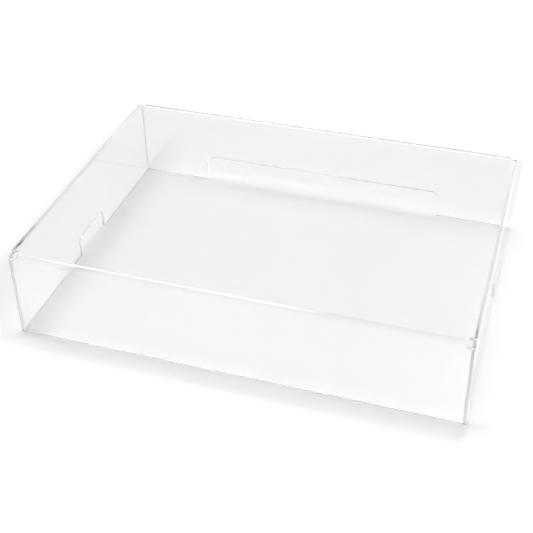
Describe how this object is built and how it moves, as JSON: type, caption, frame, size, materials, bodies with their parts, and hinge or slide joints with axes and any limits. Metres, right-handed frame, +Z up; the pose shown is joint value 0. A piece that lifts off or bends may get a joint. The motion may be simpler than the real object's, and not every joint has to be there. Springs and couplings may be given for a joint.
{
  "type": "letter tray",
  "caption": "Clear acrylic letter tray lying open side down: a bent sheet forms base, front and back walls, with notched end panels and a wide cut-out in the back rim.",
  "frame": {"origin": "centre of the outline on the plane of the rim, which the tray rests on in its stored pose, open side down", "axes": "+X along the long side, +Y towards the back wall with the wide cut-out, +Z up towards the base panel"},
  "size_m": [0.32, 0.23, 0.068],
  "materials": {
    "clear_acrylic_sheet": "polished",
    "clear_acrylic_panel": "polished"
  },
  "bodies": {
    "root": {"folded_sheet": "clear_acrylic_sheet", "left_end_panel": "clear_acrylic_panel", "right_end_panel": "clear_acrylic_panel"}
  },
  "joints": []
}
